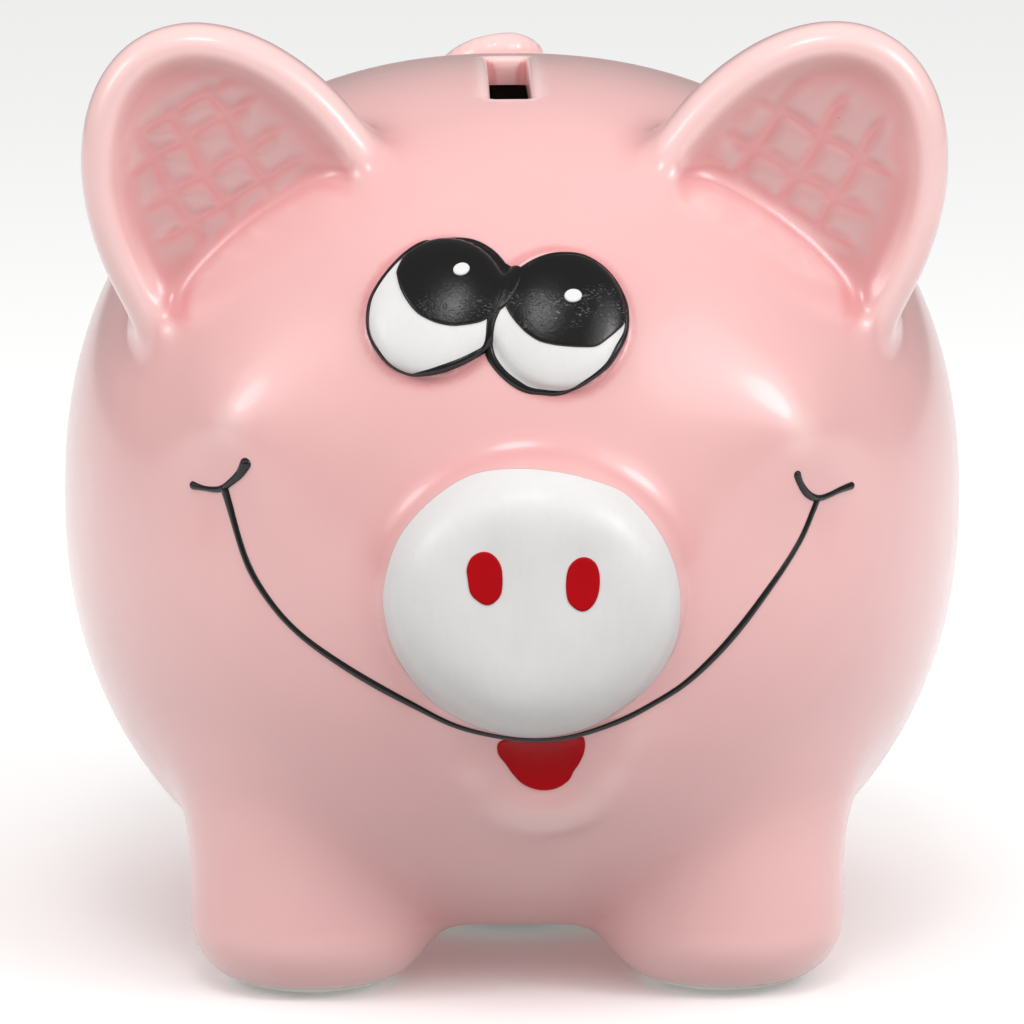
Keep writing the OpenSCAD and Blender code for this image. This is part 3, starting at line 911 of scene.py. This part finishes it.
@dataclass
class Face:
    """Everything that is painted on the face, as headings and sizes."""

    left_ring: Points = table(
        (-17.1, 25.7), (-17.2, 27.7), (-16.6, 29.4), (-15.4, 31.4), (-13.9, 33.2), (-12.4, 34.4),
        (-10.8, 35.2), (-8.6, 35.6), (-6.3, 35.4), (-4.4, 34.6), (-2.8, 33.3), (-1.8, 31.6),
        (-1.9, 29.7), (-2.8, 27.8), (-3.6, 26.0), (-3.7, 24.2), (-4.2, 23.1), (-5.2, 22.3), (-6.6, 21.5),
        (-8.3, 20.8), (-9.9, 20.4), (-11.5, 20.3), (-13.0, 20.7), (-14.4, 21.5), (-15.6, 22.7),
        (-16.6, 24.1))
    right_ring: Points = table(
        (-3.6, 24.5), (-3.6, 22.8), (-2.9, 21.5), (-1.9, 20.4), (-0.7, 19.5), (0.5, 18.9), (1.8, 18.7),
        (3.5, 18.6), (5.5, 19.1), (7.2, 20.0), (8.8, 21.2), (10.0, 22.8), (11.0, 24.3), (11.4, 25.8),
        (11.5, 27.5), (11.1, 29.1), (10.3, 30.8), (8.9, 32.1), (7.2, 33.0), (5.3, 33.2), (3.5, 33.0),
        (1.8, 32.4), (0.3, 31.6), (-1.0, 30.6), (-1.9, 29.1), (-2.7, 27.2), (-3.3, 25.9))
    left_pupil: Points = table(
        (-14.5, 31.0), (-13.9, 32.8), (-12.5, 34.0), (-10.7, 34.9), (-8.4, 35.3), (-6.0, 35.1),
        (-4.0, 34.3), (-2.3, 33.0), (-1.0, 32.1), (0.0, 31.5), (-0.1, 30.3), (-0.7, 28.9), (-1.6, 27.5),
        (-2.7, 26.6), (-3.8, 25.9), (-4.8, 25.4), (-6.0, 25.1), (-7.5, 24.9), (-9.0, 25.1),
        (-10.2, 25.5), (-11.5, 26.2), (-12.7, 27.4), (-13.7, 28.8), (-14.3, 30.1))
    right_pupil: Points = table(
        (-1.9, 27.2), (-2.2, 28.4), (-1.8, 30.0), (-0.7, 31.2), (0.4, 31.7), (1.6, 32.2), (3.2, 32.7),
        (5.2, 33.0), (7.1, 32.8), (9.0, 32.0), (10.3, 30.6), (11.1, 28.9), (11.4, 27.2), (11.0, 25.4),
        (10.0, 24.4), (8.8, 23.5), (7.6, 22.8), (6.2, 22.7), (4.4, 22.8), (3.0, 23.0), (1.6, 23.4),
        (0.4, 24.2), (-0.4, 25.0), (-1.2, 26.0))
    snout_edge: Points = table(
        (-19.1, -2.9), (-18.7, 1.3), (-17.3, 5.5), (-15.2, 8.7), (-12.1, 11.8), (-8.5, 14.2), (-4.9, 15.4),
        (-0.2, 15.8), (4.4, 15.4), (8.6, 14.4), (12.7, 12.8), (15.3, 10.7), (17.9, 7.5), (19.8, 3.8),
        (20.8, 0.1), (21.1, -3.5), (20.7, -7.8), (19.3, -11.5), (17.0, -14.6), (13.3, -17.2), (9.2, -19.6),
        (5.0, -20.8), (0.8, -21.2), (-2.8, -20.8), (-7.0, -19.5), (-10.6, -17.7), (-13.7, -15.3),
        (-16.3, -11.8), (-18.1, -8.1))
    left_nostril: Points = table(
        (-8.0, 3.3), (-7.3, 4.8), (-5.8, 5.5), (-4.4, 5.1), (-3.4, 3.8), (-3.1, 2.0), (-3.3, -0.2),
        (-4.2, -1.4), (-5.2, -1.8), (-6.3, -1.4), (-7.5, -0.2), (-7.9, 1.8))
    right_nostril: Points = table(
        (5.4, 1.4), (5.8, 3.4), (6.9, 4.5), (8.2, 4.7), (9.4, 4.0), (10.0, 2.5), (10.0, 0.4), (9.5, -1.3),
        (8.6, -2.4), (7.6, -2.7), (6.5, -2.2), (5.6, -1.0))
    tongue: Points = table(
        (-2.7, -16.6), (-2.3, -15.9), (-1.3, -15.4), (1.3, -15.4), (3.9, -15.3), (5.7, -15.5), (6.2, -16.3),
        (6.2, -17.7), (5.8, -19.0), (5.3, -20.0), (4.9, -21.0), (3.9, -21.9), (2.7, -22.3), (1.3, -22.2),
        (-0.1, -21.5), (-1.1, -20.3), (-1.9, -18.9), (-2.6, -17.7))
    smile: Points = table(
        (-32.0, 8.4), (-30.4, 3.8), (-28.6, 0.0), (-26.0, -3.35), (-23.0, -6.1), (-18.8, -8.8),
        (-14.7, -11.1), (-11.2, -12.75), (-7.6, -14.05), (-3.5, -15.0), (0.7, -15.3), (4.9, -15.15),
        (9.0, -14.2), (12.9, -12.85), (16.2, -11.2), (19.4, -8.5), (22.3, -5.5), (25.2, -2.2),
        (28.1, 1.0), (30.2, 3.6), (32.0, 7.0))
    left_tick: Points = table(
        (-37.0, 7.9), (-35.0, 7.7), (-33.2, 7.7), (-32.0, 8.0), (-30.8, 8.7), (-29.7, 9.5), (-29.0, 10.4),
        (-28.6, 11.1))
    right_tick: Points = table(
        (28.5, 9.7), (29.1, 8.5), (30.0, 7.5), (31.1, 6.9), (32.2, 6.7), (33.6, 6.9), (35.3, 7.3),
        (37.4, 7.6))
    glints: tuple = ((-7.0, 31.0, 0.92), (5.5, 28.0, 0.95))

    def films(self) -> list[tuple[Film, str, str]]:
        """Each film, with its finish and the CAD node that it stands for."""
        front = Outlook.FROM_FRONT
        return [
            (Film("snout_white", self.snout_edge, front, 0.28, 180, 40, 1.9), "white", "snout_paint"),
            (Film("nostril_red_left", self.left_nostril, front, 0.45, 96, 10), "red", "nostril_left"),
            (Film("nostril_red_right", self.right_nostril, front, 0.45, 96, 10), "red", "nostril_right"),
            (Film("eye_white_left", self.left_ring), "white", "eye_left"),
            (Film("eye_white_right", self.right_ring), "white", "eye_right"),
            (Film("pupil_black_left", self.left_pupil, thick=0.46), "black", "pupil_left"),
            (Film("pupil_black_right", self.right_pupil, thick=0.42), "black", "pupil_right"),
            (Film("tongue_red", self.tongue, thick=0.26), "red", "tongue_paint"),
        ]

    def glint_films(self) -> list[Film]:
        """The two off-white dots on the pupils."""
        films = []
        for index, (across, rise, size) in enumerate(self.glints):
            turn = np.radians(np.arange(0, 360, 30))
            wobble = 1 + 0.07 * np.sin(2 * turn + index)
            wide = size * 0.84 * wobble / math.cos(math.radians(rise))
            high = size * 0.78 * wobble
            corners = np.column_stack([across + wide * np.cos(turn), rise + high * np.sin(turn)])
            films.append(Film(f"glint_{index}", corners, thick=0.66, around=48, rings=6))
        return films

    def beads(self) -> list[tuple[Bead, str]]:
        """The drawn lines, each with the CAD node that it stands for."""
        count = len(self.left_ring)
        left = 0.62 + 0.1 * np.sin(np.arange(count) * 0.62 + 3.4) + 0.04 * np.sin(np.arange(count) * 1.7)
        count = len(self.right_ring)
        right = 0.6 + 0.1 * np.sin(np.arange(count) * 0.55 + 0.6) + 0.04 * np.sin(np.arange(count) * 1.9)
        smile = 0.53 + 0.05 * np.sin(np.arange(len(self.smile)) * 1.3)
        smile[0] = 0.78
        rings = [(self.left_ring, left), (self.right_ring, right)]
        ticks = [(self.left_tick, np.array((0.72, 0.42, 0.47, 0.5, 0.55, 0.68, 0.88, 0.98))),
                 (self.right_tick, np.array((0.66, 0.56, 0.6, 0.56, 0.5, 0.46, 0.5, 0.62)))]
        return [
            (Bead("eye_rings", rings, closed=True), "eye_outline"),
            (Bead("smile_bead", [(self.smile, smile)]), "smile_line"),
            (Bead("dimple_ticks", ticks), "dimple_marks"),
        ]


# ---- Feet and stopper ----


@dataclass
class BareFeet:
    """The unglazed soles that the bank stands on."""

    inner: float = 3.0
    outer: float = 12.3
    height: float = 1.5

    def build(self, casting: Casting) -> bpy.types.Object:
        """The four soles, each with a slightly uneven wiped edge.

        Args:
            casting: The casting that they belong to.

        Returns:
            The finished piece.
        """
        whole = bmesh.new()
        for index, leg in enumerate(casting.legs):
            top = [(0, self.height), (self.outer - 0.1, self.height), (self.outer, self.height - 0.15)]
            shape = spun([*top, (10.95, 0.55), (9.5, 0.17), (8.4, 0.02), (7.6, 0.0), (0, 0.0)], 72)
            for vertex in shape.verts:
                turn = math.atan2(vertex.co.y, vertex.co.x)
                uneven = 1 + 0.012 * math.sin(3 * turn + index) + 0.006 * math.sin(7 * turn + 2 * index)
                vertex.co.x *= uneven
                vertex.co.y *= uneven
            bmesh.ops.recalc_face_normals(shape, faces=shape.faces)
            bmesh.ops.translate(shape, verts=shape.verts, vec=(leg.middle[0], leg.middle[1], 0))
            part = bpy.data.meshes.new("sole")
            shape.to_mesh(part)
            shape.free()
            whole.from_mesh(part)
            bpy.data.meshes.remove(part)
        piece = mesh_piece("bare_soles", whole)
        piece.data.shade_smooth()
        return finished(piece)


@dataclass
class Stopper:
    """A soft plug with a rim, gripping ribs, and a hollow with a bar for the finger."""

    rim: float = 19.0
    rim_height: float = 2.2
    plug: float = 14.94
    neck: float = 14.1
    hollow: float = 9.3
    height: float = 7.6
    bar: float = 3.6
    wall: float = 4.2
    past: float = 3.4

    def build(self, casting: Casting) -> bpy.types.Object:
        """The stopper in its hole.

        Args:
            casting: The casting that it closes.

        Returns:
            The finished piece.
        """
        rib = self.wall / 5
        inside = self.height - self.rim_height
        profile = [(0, inside), (self.hollow, inside), (self.hollow, -self.rim_height),
                   (self.rim - self.rim_height / 2, -self.rim_height), (self.rim, 0), (self.neck, 0)]
        for start in (rib, 3 * rib, self.wall + self.past / 3):
            profile += [(self.neck, start), (self.plug, start + 0.22 * rib),
                        (self.plug, start + 0.78 * rib), (self.neck, start + rib)]
        profile += [(self.neck, self.height), (0, self.height)]
        shape = spun(profile, 96)
        bmesh.ops.recalc_face_normals(shape, faces=shape.faces)
        piece = mesh_piece("rubber_stopper", shape)
        bar = bmesh.new()
        size = Matrix.Diagonal((2 * self.hollow + 2 * rib, self.bar, 1.4 * self.rim_height, 1))
        place = Matrix.Translation((0, 0, 0.02 - 0.3 * self.rim_height))
        bmesh.ops.create_cube(bar, size=1, matrix=place @ size)
        cut(piece, mesh_piece("finger_bar", bar), "UNION")
        shape = bmesh.new()
        shape.from_mesh(piece.data)
        sharp = [edge for edge in shape.edges if edge.is_manifold and edge.calc_face_angle() > 0.6]
        bmesh.ops.bevel(shape, geom=sharp, offset=0.22, offset_type="OFFSET", segments=2, profile=0.5,
                        affect="EDGES", clamp_overlap=True, material=-1)
        bmesh.ops.translate(shape, verts=shape.verts, vec=(*casting.middle[:2], casting.belly))
        shape.to_mesh(piece.data)
        shape.free()
        piece.data.shade_smooth()
        return finished(piece)


# ---- Shader maths ----


class Signal:
    """A socket that carries a number, and adds a Math node for each operation on it."""

    def __init__(self, finish: "Shader", socket: bpy.types.NodeSocket) -> None:
        """Keeps the material in the making and the socket."""
        self.finish = finish
        self.socket = socket

    def math(self, operation: str, *values: "Signal | float") -> "Signal":
        """One Math node on these values."""
        return self.finish.node("ShaderNodeMath", {"operation": operation}, dict(enumerate(values)))

    def __add__(self, other: "Signal | float") -> "Signal":
        """The sum."""
        return self.math("ADD", self, other)

    __radd__ = __add__

    def __sub__(self, other: "Signal | float") -> "Signal":
        """The difference."""
        return self.math("SUBTRACT", self, other)

    def __rsub__(self, other: float) -> "Signal":
        """The difference the other way round."""
        return self.math("SUBTRACT", other, self)

    def __mul__(self, other: "Signal | float") -> "Signal":
        """The product."""
        return self.math("MULTIPLY", self, other)

    __rmul__ = __mul__

    def over(self, low: float, high: float) -> "Signal":
        """Nought below low and one above high, with a straight rise between them."""
        settings = {"clamp": True}
        return self.finish.node("ShaderNodeMapRange", settings, {0: self, 1: low, 2: high, 3: 0.0, 4: 1.0})


class Shader:
    """A material in the making, on one Principled shader."""

    def __init__(self, name: str, **fixed: float | tuple) -> None:
        """Starts a material.

        Args:
            name: What the material is called.
            fixed: The shader's constant values, by socket name with spaces as underscores.
        """
        self.material = bpy.data.materials.new(name)
        self.material.use_nodes = True
        self.tree = self.material.node_tree
        self.principled = next(node for node in self.tree.nodes if node.type == "BSDF_PRINCIPLED")
        for key, value in fixed.items():
            self.principled.inputs[key.replace("_", " ")].default_value = value
        self.place = self.node("ShaderNodeTexCoord", {}, {}, "Object")

    def node(self, kind: str, settings: dict, values: dict, output: str | int = 0) -> Signal:
        """Adds a node.

        Args:
            kind: The node's type.
            settings: Its properties, which are set first.
            values: What its sockets are set or linked to, by name or place.
            output: The socket to return.

        Returns:
            The output.
        """
        node = self.tree.nodes.new(kind)
        for key, value in settings.items():
            setattr(node, key, value)
        for key, value in values.items():
            if isinstance(value, Signal):
                self.tree.links.new(value.socket, node.inputs[key])
            else:
                node.inputs[key].default_value = value
        return Signal(self, node.outputs[output])

    def noise(self, scale: float, detail: float = 2.0, rough: float = 0.5) -> Signal:
        """Cloudy noise of about this many blotches a metre."""
        return self.node("ShaderNodeTexNoise", {}, {"Vector": self.place, "Scale": scale, "Detail": detail,
                                                    "Roughness": rough})

    def written(self, name: str) -> Signal:
        """A number kept on the mesh."""
        return self.node("ShaderNodeAttribute", {"attribute_name": name}, {}, "Fac")

    def blend(self, share: Signal | float, first: Signal | tuple, second: Signal | tuple) -> Signal:
        """A colour between two others."""
        return self.node("ShaderNodeMix", {"data_type": "RGBA"}, {0: share, 6: first, 7: second}, 2)

    def bump(self, height: Signal, depth: float, strength: float = 1.0) -> None:
        """Roughens the surface: depth is in metres."""
        values = {"Height": height, "Distance": depth, "Strength": strength}
        self.feed("Normal", self.node("ShaderNodeBump", {}, values, "Normal"))

    def feed(self, name: str, signal: Signal) -> None:
        """Links a signal to the shader."""
        self.tree.links.new(signal.socket, self.principled.inputs[name])


@dataclass(frozen=True)
class Glaze:
    """Clear pink glaze over earthenware: deeper where it pools and paler where it thins, with painted shade
    darkening the ears' floors.
    """

    body: tuple = (0.75, 0.412, 0.406, 1)
    warm: tuple = (0.79, 0.445, 0.436, 1)
    deep: tuple = (0.66, 0.235, 0.24, 1)
    pale: tuple = (0.88, 0.60, 0.58, 1)
    # painted shade: a darker glaze colour for the ears' floors, standing in for the shade that falls in
    # their hollows
    recess_shade: tuple = (0.58, 0.33, 0.325, 1)
    speck: tuple = (0.36, 0.20, 0.17, 1)
    inside: tuple = (0.70, 0.52, 0.48, 1)

    def make(self) -> bpy.types.Material:
        """The material."""
        shader = Shader("pink_glaze", Roughness=0.34, IOR=1.5, Coat_Weight=0.8, Coat_Roughness=0.15,
                        Coat_IOR=1.5)
        pooled = shader.written("pooled")
        thin = shader.written("thin")
        shade = shader.written("shade")
        clouds = shader.noise(28.0, 3.0).over(0.35, 0.68)
        colour = shader.blend(clouds, self.body, self.warm)
        # painted shade: the ears' floors are darkened here as if in the shadow of their rims
        colour = shader.blend(shade, colour, self.recess_shade)
        uneven = shader.noise(160.0).over(0.2, 0.8) * 0.35 + 0.65
        colour = shader.blend(pooled * uneven, colour, self.deep)
        colour = shader.blend(thin * 0.75, colour, self.pale)
        spots = shader.node("ShaderNodeTexVoronoi", {},
                            {"Vector": shader.place, "Scale": 95.0, "Randomness": 1.0}, "Distance")
        rare = shader.noise(60.0, 0.0).over(0.66, 0.72)
        fleck = (1 - spots.over(0.012, 0.022)) * rare
        colour = shader.blend(fleck * 0.7, colour, self.speck)
        outside = shader.written("outside")
        colour = shader.blend(outside, self.inside, colour)
        shader.feed("Base Color", colour)
        shader.feed("Roughness", shader.noise(220.0, 2.0) * 0.12 + 0.27)
        orange_peel = shader.noise(75.0, 1.0, 0.4) + shader.noise(900.0, 2.0) * 0.04 - fleck * 0.7
        shader.bump(orange_peel, 0.00016, 0.55)
        return shader.material


@dataclass(frozen=True)
class BrushedPaint:
    """Cold paint laid on the glaze with a brush."""

    name: str
    colour: tuple
    worn: tuple
    roughness: float
    shine: float = 0.5
    streak: float = 0.2
    grain: float = 0.3

    def make(self) -> bpy.types.Material:
        """The material."""
        shader = Shader(self.name, IOR=1.47, Specular_IOR_Level=self.shine)
        stretched = shader.node("ShaderNodeMapping", {}, {"Vector": shader.place, "Scale": (1.0, 1.0, 0.22),
                                                          "Rotation": (0.0, 0.5, 0.0)})
        hairs = shader.node("ShaderNodeTexNoise", {}, {"Vector": stretched, "Scale": 900.0, "Detail": 2.0})
        clouds = shader.noise(120.0, 3.0)
        share = clouds.over(0.35, 0.75) * 0.6 + hairs.over(0.4, 0.7) * self.streak
        shader.feed("Base Color", shader.blend(share, self.colour, self.worn))
        shader.feed("Roughness", clouds * 0.14 + hairs * 0.08 + (self.roughness - 0.11))
        shader.bump(hairs * self.streak + shader.noise(1500.0, 2.0) * self.grain + clouds, 0.00009, 0.6)
        return shader.material


@dataclass(frozen=True)
class ScuffedBlack:
    """Satin black paint with a fine grain and a rubbed, speckled band."""

    colour: tuple = (0.005, 0.0045, 0.005, 1)
    rubbed: tuple = (0.30, 0.29, 0.30, 1)
    band_height: float = 0.1012
    band_width: float = 0.0026

    def make(self) -> bpy.types.Material:
        """The material."""
        shader = Shader("scuffed_black_paint", IOR=1.5, Specular_IOR_Level=0.42)
        grain = shader.noise(2600.0, 2.0)
        height = shader.node("ShaderNodeSeparateXYZ", {}, {"Vector": shader.place}, "Z")
        wavy = height + (shader.noise(140.0, 1.0) - 0.5) * 0.004
        near = wavy.math("ABSOLUTE", wavy - self.band_height)
        band = 1 - near.over(self.band_width * 0.4, self.band_width)
        flat = shader.node("ShaderNodeMapping", {}, {"Vector": shader.place, "Scale": (0.6, 1.0, 1.4)})
        chips = shader.node("ShaderNodeTexNoise", {}, {"Vector": flat, "Scale": 2900.0, "Detail": 4.0,
                                                       "Roughness": 0.75}).over(0.56, 0.64)
        across = shader.node("ShaderNodeSeparateXYZ", {}, {"Vector": shader.place}, "X")
        scuff = band * chips * shader.noise(420.0, 1.0).over(0.42, 0.6)
        scuff = scuff * (across.over(-0.006, 0.004) * 0.7 + 0.3)
        shader.feed("Base Color", shader.blend(scuff * 0.8, self.colour, self.rubbed))
        shader.feed("Roughness", grain * 0.12 + 0.17)
        lumps = grain * 0.35 + shader.noise(260.0, 2.0) - scuff * 1.5
        shader.bump(lumps, 0.00012, 0.35)
        return shader.material


@dataclass(frozen=True)
class Bisque:
    """Bare fired clay, wiped clean of glaze."""

    colour: tuple = (0.80, 0.77, 0.73, 1)
    dirt: tuple = (0.52, 0.46, 0.42, 1)

    def make(self) -> bpy.types.Material:
        """The material."""
        shader = Shader("bisque", IOR=1.45)
        grain = shader.noise(1400.0, 3.0, 0.65)
        marks = shader.noise(150.0, 4.0, 0.6).over(0.5, 0.75)
        shader.feed("Base Color", shader.blend(marks * 0.45 + grain * 0.1, self.colour, self.dirt))
        shader.feed("Roughness", grain * 0.1 + 0.85)
        shader.bump(grain, 0.0002, 0.7)
        return shader.material


@dataclass(frozen=True)
class Rubber:
    """Milky soft plastic, with cloudy patches of dust."""

    colour: tuple = (0.70, 0.70, 0.67, 1)
    dust: tuple = (0.50, 0.47, 0.43, 1)

    def make(self) -> bpy.types.Material:
        """The material."""
        shader = Shader("milky_rubber", IOR=1.5, Subsurface_Weight=0.15, Subsurface_Radius=(0.6, 0.6, 0.55),
                        Subsurface_Scale=0.003)
        haze = shader.noise(90.0, 3.0).over(0.45, 0.8)
        shader.feed("Base Color", shader.blend(haze * 0.4, self.colour, self.dust))
        shader.feed("Roughness", shader.noise(500.0, 2.0) * 0.15 + 0.42)
        shader.bump(shader.noise(700.0, 2.0), 0.00008, 0.5)
        return shader.material


# ---- Studio ----


@dataclass
class Studio:
    """A pale floor, the light of a white tent, six lamps and the camera."""

    target: Points
    distance: float = 0.9
    elevation: float = 9.0
    azimuth: float = -1.3
    lens: float = 210.94
    shift: tuple[float, float] = (1 / 1024, -22 / 1024)
    sky_rise: tuple[float, float, float, float] = (-0.6, 0.6, 0.5, 0.9)
    sky_hidden: float = 0.65

    def camera(self) -> None:
        """Adds the camera."""
        view = bpy.data.cameras.new("camera")
        view.lens = self.lens
        view.sensor_width = 36.0
        view.shift_x, view.shift_y = self.shift
        view.clip_start = 0.05
        seer = linked(bpy.data.objects.new("camera", view))
        back = Vector(aim([self.azimuth, self.elevation]))
        seer.location = Vector(self.target * MM) + back * self.distance
        seer.rotation_euler = back.to_track_quat("Z", "Y").to_euler()
        bpy.context.scene.camera = seer

    def light(self, name: str, heading: tuple[float, float], far: float, size: tuple[float, float],
              power: float, mirrored: bool = True) -> None:
        """Adds a rounded softbox that faces the bank.

        Args:
            name: What the light is called.
            heading: Where it stands, in degrees.
            far: How far from the bank, in metres.
            size: Its width and height, in metres.
            power: Its power in watts.
            mirrored: Whether it shows in the glaze.
        """
        lamp = bpy.data.lights.new(name, "AREA")
        lamp.shape = "ELLIPSE"
        lamp.size, lamp.size_y = size
        lamp.energy = power
        stand = linked(bpy.data.objects.new(name, lamp))
        stand.visible_glossy = mirrored
        back = Vector(aim(list(heading)))
        stand.location = Vector(self.target * MM) + back * far
        stand.rotation_euler = back.to_track_quat("Z", "Y").to_euler()

    def floor(self) -> None:
        """Adds the floor, a hair below the soles, which sends no light back up."""
        shape = bmesh.new()
        below = Matrix.Translation((0, 0, -0.0003))
        bmesh.ops.create_grid(shape, x_segments=8, y_segments=8, size=6.0, matrix=below)
        ground = mesh_piece("floor", shape)
        shader = Shader("floor_card", Roughness=0.9)
        mottle = shader.noise(3.0, 1.0)
        shader.feed("Base Color", shader.blend(mottle * 0.2, (0.97, 0.97, 0.97, 1), (0.94, 0.94, 0.94, 1)))
        ground.data.materials.append(shader.material)
        ground.visible_diffuse = False

    def sky(self) -> None:
        """Adds the even light of a white tent, brighter above and dimmer in the glaze."""
        world = bpy.data.worlds.new("tent")
        bpy.context.scene.world = world
        world.use_nodes = True
        nodes, links = world.node_tree.nodes, world.node_tree.links
        nodes["Background"].inputs["Color"].default_value = (1, 0.995, 0.99, 1)
        way = nodes.new("ShaderNodeTexCoord")
        parts = nodes.new("ShaderNodeSeparateXYZ")
        rise = nodes.new("ShaderNodeMapRange")
        rise.interpolation_type = "SMOOTHSTEP"
        for index, value in enumerate(self.sky_rise, 1):
            rise.inputs[index].default_value = value
        links.new(way.outputs["Generated"], parts.inputs["Vector"])
        links.new(parts.outputs["Z"], rise.inputs[0])
        ray = nodes.new("ShaderNodeLightPath")
        dimmed = nodes.new("ShaderNodeMath")
        dimmed.operation = "MULTIPLY_ADD"
        dimmed.inputs[1].default_value = -self.sky_hidden
        dimmed.inputs[2].default_value = 1.0
        links.new(ray.outputs["Is Glossy Ray"], dimmed.inputs[0])
        power = nodes.new("ShaderNodeMath")
        power.operation = "MULTIPLY"
        links.new(rise.outputs[0], power.inputs[0])
        links.new(dimmed.outputs[0], power.inputs[1])
        links.new(power.outputs[0], nodes["Background"].inputs["Strength"])

    def build(self) -> None:
        """Sets up the whole studio."""
        self.camera()
        self.floor()
        self.sky()
        for name, heading, power in (("left", (-65.0, 33.0), 1.3), ("right", (54.0, 34.0), 2.1)):
            self.light("softbox_" + name, heading, 1.1, (0.8, 0.75), power)
            self.light("bulb_" + name, heading, 1.05, (0.3, 0.34), power * 0.75)
        self.light("key", (-6.0, 57.0), 1.3, (0.3, 0.3), 1.6)
        self.light("fill", (8.0, 48.0), 1.35, (1.0, 1.0), 3.1, False)
        bpy.context.scene.view_settings.view_transform = "Standard"


def corners(box: tuple[Vector, Vector]) -> list[list[float]]:
    """A box as plain lists of numbers."""
    return [[float(value) for value in corner] for corner in box]


def dress(piece: bpy.types.Object, finish: bpy.types.Material) -> None:
    """Gives a piece its only material."""
    piece.data.materials.clear()
    piece.data.materials.append(finish)


def main() -> None:
    """Builds every piece around the frame, in order."""
    logging.basicConfig(level=logging.INFO, format="%(name)s: %(message)s")
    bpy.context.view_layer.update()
    low, high = (np.array(corner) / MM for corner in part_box("body_shell"))
    half_height = 65.0
    middle = np.array([(low[0] + high[0]) / 2, (low[1] + high[1]) / 2, high[2] - half_height])
    Studio(middle).build()
    casting = Casting(middle)
    finishes = {
        "glaze": Glaze().make(),
        "white": BrushedPaint("white_paint", (0.69, 0.68, 0.675, 1), (0.63, 0.62, 0.615, 1), 0.34).make(),
        "red": BrushedPaint("red_paint", (0.42, 0.001, 0.005, 1), (0.35, 0.0005, 0.003, 1), 0.36,
                            0.1).make(),
        "black": ScuffedBlack().make(),
        "bisque": Bisque().make(),
        "rubber": Rubber().make(),
    }

    def place(piece: bpy.types.Object, body: str, finish: str, *nodes: str) -> None:
        """Dresses a piece and ties it to the frame."""
        dress(piece, finishes[finish])
        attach(piece, body)
        if nodes:
            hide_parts(*nodes)
        LOG.info("%s: %d faces for %s", piece.name, len(piece.data.polygons), ", ".join(nodes) or "itself")

    place(casting.build(), "bank", "glaze", "body_shell", "snout", "lower_lip", "ear_left", "ear_right",
          "leg_front_left", "leg_front_right", "leg_rear_left", "leg_rear_right", "tail")
    face = Face()
    for film, finish, node in face.films():
        place(film.build(casting), "bank", finish, node)
    for film in face.glint_films():
        place(film.build(casting), "bank", "white", "eye_glints")
    for bead, node in face.beads():
        place(bead.build(casting), "bank", "black", node)
    place(BareFeet().build(casting), "bank", "bisque", "bare_feet")
    place(Stopper().build(casting), "stopper", "rubber", "stopper")


if __name__ == "__main__":
    main()
